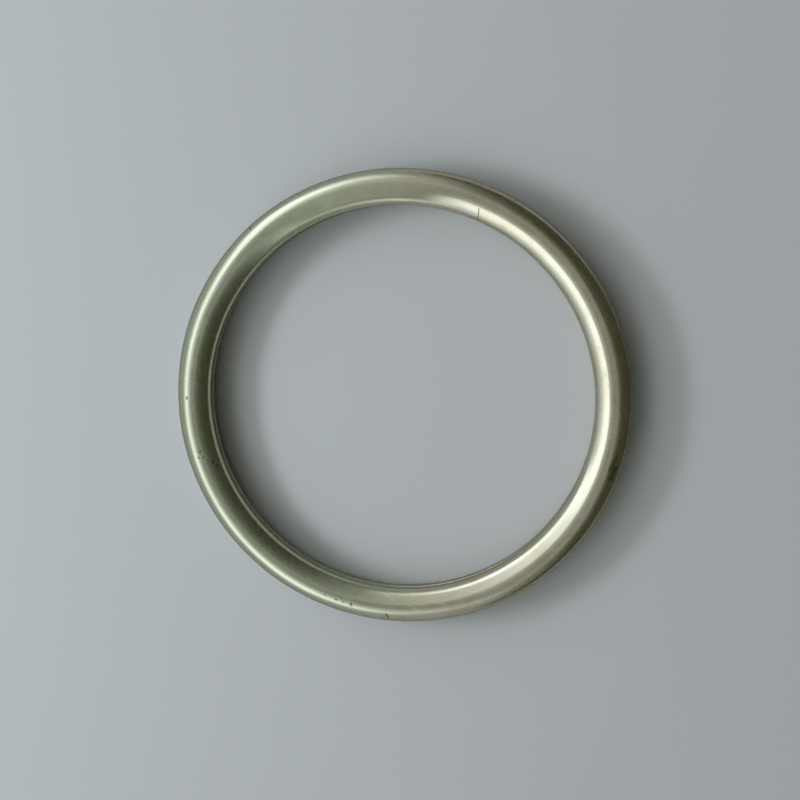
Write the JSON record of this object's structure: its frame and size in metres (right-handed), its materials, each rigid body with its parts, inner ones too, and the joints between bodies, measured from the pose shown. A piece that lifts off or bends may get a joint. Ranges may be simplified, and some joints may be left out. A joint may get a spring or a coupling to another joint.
{
  "type": "exhaust pipe gasket",
  "caption": "Round metal ring gasket of rolled, rounded section that is crushed between an exhaust port and a header pipe to seal the joint.",
  "frame": {"origin": "on the ring's axis, in the plane of its lower seat", "axes": "+Z along the ring's axis, from the lower seat to the upper seat; X and Y lie in the plane of the lower seat"},
  "size_m": [0.045, 0.045, 0.004],
  "materials": {
    "gasket_metal": "satin rolled sheet, pale gold"
  },
  "bodies": {
    "root": {"gasket_ring": "gasket_metal"}
  },
  "joints": []
}
